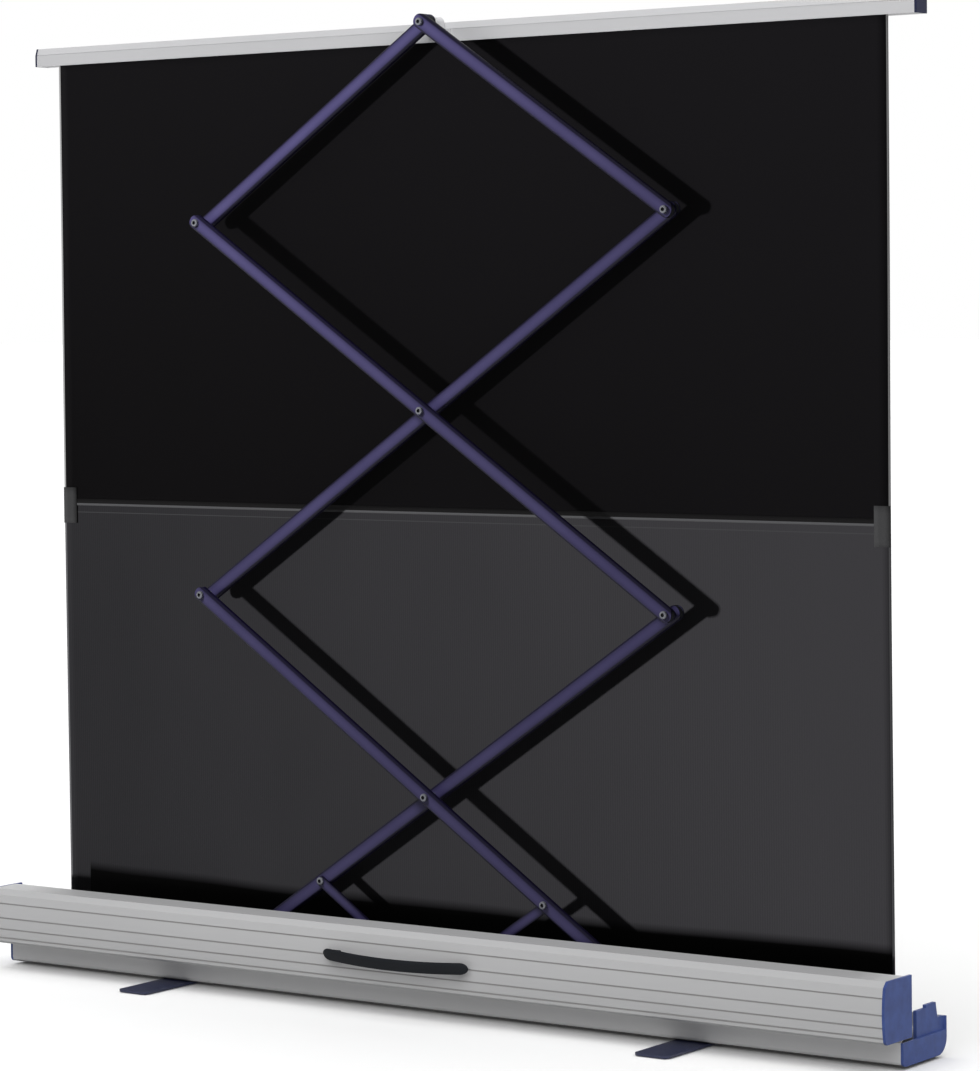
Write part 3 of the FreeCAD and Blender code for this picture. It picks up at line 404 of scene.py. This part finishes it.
# Swivel feet: pressed steel strips in dark navy enamel, riveted under the case. Ribbed rubber
# pads are bonded beneath their ends.
foot_enamel, at = new_finish("foot_enamel", Specular_IOR_Level=0.5)
peel = at.noise(420, 3)
lay_on(foot_enamel, at.noise(25, 3).between(tint("1b1f34"), tint("262a44")),
       peel * 0.15 + 0.38, peel, 0.00006, 0.5)
coat(foot_enamel, "foot_paint", "foot_plate_left", "foot_plate_right")
pad_rubber, at = new_finish("pad_rubber", Specular_IOR_Level=0.3)
ribs = at.node("TexWave", {"Vector": at, "Scale": 160.0}, {"bands_direction": "Y"})
lay_on(pad_rubber, ribs.between(tint("101012"), tint("1d1d20")), ribs * 0.1 + 0.7, ribs, 0.0003)
coat(pad_rubber, "pad_rubber", "foot_pads_left", "foot_pads_right")

# Projection sheet: glass-fibre cloth, matt white in front with black borders and a black
# drop, dark grey behind with fine upright ribs. Behind, painted light makes it lighter towards
# -X and upwards, and a painted shadow darkens its foot. It runs from the roller to the top bar.
sheet_low, sheet_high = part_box("projection_sheet")
sheet_y = (sheet_low.y + sheet_high.y) / 2
image_half, image_low, image_high = 0.61, 0.235, 1.15
selvedge = 0.003
seam_half = 0.0006
fold_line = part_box("backing_hem")[0].z - 0.009
# Heights of the painted shadow across the cloth's foot, and the x beyond which it stops.
shadow_full_below, shadow_clear_above = 0.105, 0.118
lit_edge = 0.6
flat_top = 0.13
cloth_thick, layer_thick = 0.0004, 0.0003


def billow(x, z):
    """How far the cloth stands out of its plane, in metres, towards the back. The upper edge
    stays flat, so that it fits the bar's slot when the cloth is down too."""
    share = (z - sheet_low.z) / (sheet_high.z - flat_top - sheet_low.z)
    held = sin(pi * share) ** 2 if share < 1 else 0.0
    flutes = 0.0007 * sin(5.2 * x + 0.7) + 0.0004 * sin(13.5 * x + 2.1 + 2.4 * z)
    return held * (flutes + 0.0022 * abs(x / sheet_high.x) ** 9)


def cloth(name, low, high, y, columns, rows):
    """An upright grid of cloth in the plane y that follows the billow."""
    mesh = bmesh.new()
    bmesh.ops.create_grid(mesh, x_segments=columns, y_segments=rows, size=0.5)
    bmesh.ops.rotate(mesh, verts=mesh.verts, matrix=Matrix.Rotation(pi / 2, 3, "X"))
    bmesh.ops.scale(mesh, verts=mesh.verts, vec=(high[0] - low[0], 1, high[1] - low[1]))
    middle = ((low[0] + high[0]) / 2, y, (low[1] + high[1]) / 2)
    bmesh.ops.translate(mesh, verts=mesh.verts, vec=middle)
    for corner in mesh.verts:
        corner.co.y += billow(corner.co.x, corner.co.z)
    for face in mesh.faces:
        face.smooth = True
    return finished(name, mesh)


def thicken(piece, thick, finishes):
    """Gives cloth its thickness: front, back and cut edge each with a finish."""
    for finish in finishes:
        piece.data.materials.append(finish)
    wall = piece.modifiers.new("thickness", "SOLIDIFY")
    wall.thickness = thick
    wall.offset = 0
    wall.material_offset = 1
    wall.material_offset_rim = 2


front_white, at = new_finish("screen_front", Specular_IOR_Level=0.1)
weave = at.noise(1500, 2)
x, z = at.axis("X"), at.axis("Z")
inside = (abs(x) < image_half) * (z > image_low) * (z < image_high)
lay_on(front_white, inside.between(tint("0f0f10"), tint("e9e9e6")), weave * 0.1 + 0.8, weave,
       0.00005, 0.5)

back_grey, at = new_finish("screen_back", Specular_IOR_Level=0.06)
ribs = at.node("TexWave", {"Vector": at, "Scale": 95.0, "Distortion": 0.6, "Detail": 1.0},
               {"bands_direction": "X"})
patches = at.noise(5, 4, (1, 1, 0.5))
x, z = at.axis("X"), at.axis("Z")
seam = abs(z - fold_line) < seam_half
# The x and z terms are painted light: the back is lighter towards -X and towards the top; the ribs and
# patches are the cloth's own.
wear = ribs * 0.2 + patches * 0.3 + 0.3 - x * 0.55 + z * 0.4
cloth_tone_and_painted_light = wear.between(tint("262628"), tint("424144"))
swell = at.noise(2.2, 1)
# Painted shadow across the foot, with a wavy upper edge, cut off beyond lit_edge.
clear_of_painted_shadow = z.node("MapRange", {"Value": z - swell * 0.03, "From Min": shadow_full_below, "From Max": shadow_clear_above})
bare = (z > fold_line).between(tint("6e6e70"), tint("b2b2b2"))
clear_of_painted_shadow = clear_of_painted_shadow.sum("MAXIMUM", clear_of_painted_shadow, x > lit_edge)
edged = (abs(x) > sheet_high.x - selvedge).between(clear_of_painted_shadow.between(tint("030303"), cloth_tone_and_painted_light), bare)
lay_on(back_grey, seam.between(edged, tint("4a4a4c")), patches * 0.15 + 0.75, ribs, 0.0001, 0.5)

edge_grey, at = new_finish("cut_edge", Specular_IOR_Level=0.2)
fray = at.noise(800, 3)
lay_on(edge_grey, fray.between(tint("8b8b8c"), tint("b5b5b4")), fray * 0.1 + 0.8, fray, 0.0001)

screen = cloth("projection_cloth", (sheet_low.x, sheet_low.z), (sheet_high.x, sheet_high.z),
               sheet_y, 96, 80)
thicken(screen, cloth_thick, (front_white, back_grey, edge_grey))
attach(screen, "base")
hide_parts("projection_sheet")

# Upper backing: a black blackout layer welded behind the upper half of the cloth, with a
# folded hem along its lower edge and a clear-grey tab of tape at each end of the join.
black_cloth, at = new_finish("backing_black", Specular_IOR_Level=0.06)
weave = at.noise(1100, 2)
patches = at.noise(4, 4)
# Painted light: the backing is lighter towards the top and towards -X; the patches are its own.
patches_and_painted_light = patches * 0.4 - 0.7 - at.axis("X") * 0.3 + at.axis("Z") * 1.1
lay_on(black_cloth, patches_and_painted_light.between(tint("0a090a"), tint("181719")),
       patches * 0.15 + 0.7, weave, 0.00005, 0.5)
hem_grey, at = new_finish("hem_tape", Specular_IOR_Level=0.15)
z = at.axis("Z")
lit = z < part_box("backing_hem")[0].z + 0.003
weave = at.noise(900, 2)
lay_on(hem_grey, lit.between(tint("0b0a0b"), tint("59595b")), weave * 0.2 + 0.5, weave, 0.00008)
tab_grey, at = new_finish("edge_tab", Specular_IOR_Level=0.15)
weave = at.noise(700, 2)
lay_on(tab_grey, weave.between(tint("363637"), tint("474748")), weave * 0.1 + 0.5, weave, 0.00006)


def layer(name, node, finish, columns, rows):
    """A thin cloth layer that fills the place of its CAD node."""
    low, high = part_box(node)
    left, right = low.x + selvedge, high.x - selvedge
    piece = cloth(name, (left, low.z), (right, high.z), (low.y + high.y) / 2, columns, rows)
    thicken(piece, layer_thick, (finish, finish, finish))
    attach(piece, "base")
    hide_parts(node)
    return piece


backing = layer("blackout_backing", "upper_backing", black_cloth, 96, 40)
hem = layer("backing_hem_fold", "backing_hem", hem_grey, 96, 3)
low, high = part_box("edge_tabs")
tab_width = 0.022
tabs = []
for name, left in (("edge_tab_left", low.x), ("edge_tab_right", high.x - tab_width)):
    tab = cloth(name, (left, low.z), (left + tab_width, high.z), (low.y + high.y) / 2, 3, 5)
    thicken(tab, layer_thick, (tab_grey, tab_grey, tab_grey))
    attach(tab, "base")
    tabs.append(tab)
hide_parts("edge_tabs")
for piece in (screen, backing, hem, *tabs):
    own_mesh(piece)

# Cloth left on the roller: a little over two turns, wound in a spiral round the tube. It
# turns with the roller.
low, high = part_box("wound_sheet")
centre = (low + high) / 2
outer = (high.y - low.y) / 2
inner = outer - 0.0009
turns, steps = 2.25, 32
laid = int(turns * steps)
mesh = bmesh.new()
ends = [mesh.verts.new((side, centre.y + inner, centre.z)) for side in (low.x, high.x)]
edges = [mesh.edges.new(ends)]
step_turn = Matrix.Rotation(2 * pi / steps, 3, "X")
growth = (outer / inner) ** (1 / (turns * steps))
for step in range(laid):
    grown = bmesh.ops.extrude_edge_only(mesh, edges=edges)["geom"]
    corners = [part for part in grown if isinstance(part, bmesh.types.BMVert)]
    edges = [part for part in grown if isinstance(part, bmesh.types.BMEdge)]
    bmesh.ops.rotate(mesh, verts=corners, cent=centre, matrix=step_turn)
    bmesh.ops.scale(mesh, verts=corners, vec=(1, growth, growth),
                    space=Matrix.Translation(-centre))
bmesh.ops.recalc_face_normals(mesh, faces=mesh.faces)
for face in mesh.faces:
    face.smooth = True
wound = finished("wound_cloth", mesh)
thicken(wound, layer_thick, (front_white, back_grey, edge_grey))
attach(wound, "roller")
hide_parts("wound_sheet")

# Studio: a white floor and white surroundings, which light less than they show. The floor
# throws no light back and no shadow on the object.
floor_white, at = new_finish("studio_floor", Roughness=0.9, Specular_IOR_Level=0.0)
lay_on(floor_white, at.noise(3, 2).between(tint("f3f3f3"), tint("f6f6f6")))
mesh = bmesh.new()
bmesh.ops.create_grid(mesh, x_segments=2, y_segments=2, size=90)
floor = finished("floor", mesh)
floor.data.materials.append(floor_white)
floor.visible_diffuse = False
floor.visible_shadow = False

world = bpy.data.worlds.new("studio")
world.use_nodes = True
sky = world.node_tree.nodes["Background"]
sky.inputs["Color"].default_value = (1, 1, 1, 1)
path = world.node_tree.nodes.new("ShaderNodeLightPath")
seen = Shade(world, path.outputs["Is Camera Ray"])
mirrored = Shade(world, path.outputs["Is Glossy Ray"])
world.node_tree.links.new((seen * 0.95 + mirrored * 0.55 + 0.05).socket, sky.inputs["Strength"])
bpy.context.scene.world = world
bpy.context.scene.view_settings.view_transform = "Standard"

# Lamps: a low sun behind the screen, on the left of the picture, throws the arms' shadows on
# the cloth and its backing, and a soft lamp lights the scissor from above, less towards its
# foot. Broad soft suns light the other pieces, the screen's face and the floor.
low_sun = (2.1, 3.44, -0.29)


def lamp(name, kind, place, target, size, power, lit):
    """A lamp that lights the pieces in lit. A near one fades evenly with distance."""
    light = bpy.data.lights.new(name, kind)
    light.energy = power
    if kind == "SUN":
        light.angle = size
    else:
        light.size = size
        light.use_nodes = True
        fade = light.node_tree.nodes.new("ShaderNodeLightFalloff")
        fade.inputs["Strength"].default_value = 1
        light.node_tree.links.new(fade.outputs["Linear"],
                                  light.node_tree.nodes["Emission"].inputs["Strength"])
    made = bpy.data.objects.new(name, light)
    made.location = place
    made.rotation_euler = (Vector(target) - Vector(place)).to_track_quat("-Z", "Y").to_euler()
    made.visible_camera = False
    made.visible_glossy = False
    bpy.context.collection.objects.link(made)
    receivers = bpy.data.collections.new(name + "_lights")
    for piece in lit:
        receivers.objects.link(piece)
    made.light_linking.receiver_collection = receivers


solids = [piece for piece in bpy.data.objects
          if piece.type == "MESH" and piece not in (screen, floor)]
scissor = ("lower_arm", "middle_arm", "upper_arm", "short_link", "middle_front_r", "middle_rear_r",
           "lower_rear_r", "top_rivet", "left_link", "right_link")
by_crown = [piece for piece in solids if piece.name.startswith(scissor)]
by_key = [backing, hem, *tabs]
by_sun = [piece for piece in solids if piece not in by_crown + by_key]
lamp("screen_sun", "SUN", low_sun, (0, 0, 0), radians(4), 2.7, [screen])
lamp("backing_sun", "SUN", low_sun, (0, 0, 0), radians(4), 3.1, by_key)
lamp("crown_lamp", "AREA", (0.5, 0.75, 1.55), (0, 0, 0.8), 0.4, 13.5, by_crown)
lamp("soft_sun", "SUN", (-1.0, 2.6, 3.1), (0, 0, 0), radians(60), 3.1, by_sun)
lamp("side_sun", "SUN", (-3, 0.6, 0.9), (0, 0, 0), radians(40), 1.3, by_sun)
lamp("front_sun", "SUN", (0.9, -3, 1.8), (0, 0, 0), radians(40), 3.2, [screen] + by_sun)
lamp("floor_bounce", "SUN", (-0.5, 2, -1.2), (0, 0, 0), radians(60), 0.7, by_sun)
lamp("floor_sun", "SUN", (0.2, 1.5, 3), (0, 0, 0), radians(130), 4.3, [floor])

# Camera: it stands where the photograph was taken, with its heading, dip and roll, and a lens
# of that field of view.
stand = (-2.7684, 3.8217, 0.8699)
heading, dip, roll = radians(35.13), radians(2.07), radians(-0.64)
lens = bpy.data.cameras.new("photo_camera")
lens.sensor_fit = "HORIZONTAL"
lens.sensor_width = 36
lens.lens = 138.75
lens.shift_y = -0.0872
lens.clip_end = 200
camera = bpy.data.objects.new("photo_camera", lens)
turn = (Matrix.Rotation(pi + heading, 4, "Z") @ Matrix.Rotation(pi / 2 - dip, 4, "X")
        @ Matrix.Rotation(roll, 4, "Z"))
camera.matrix_world = Matrix.Translation(stand) @ turn
bpy.context.collection.objects.link(camera)
bpy.context.scene.camera = camera
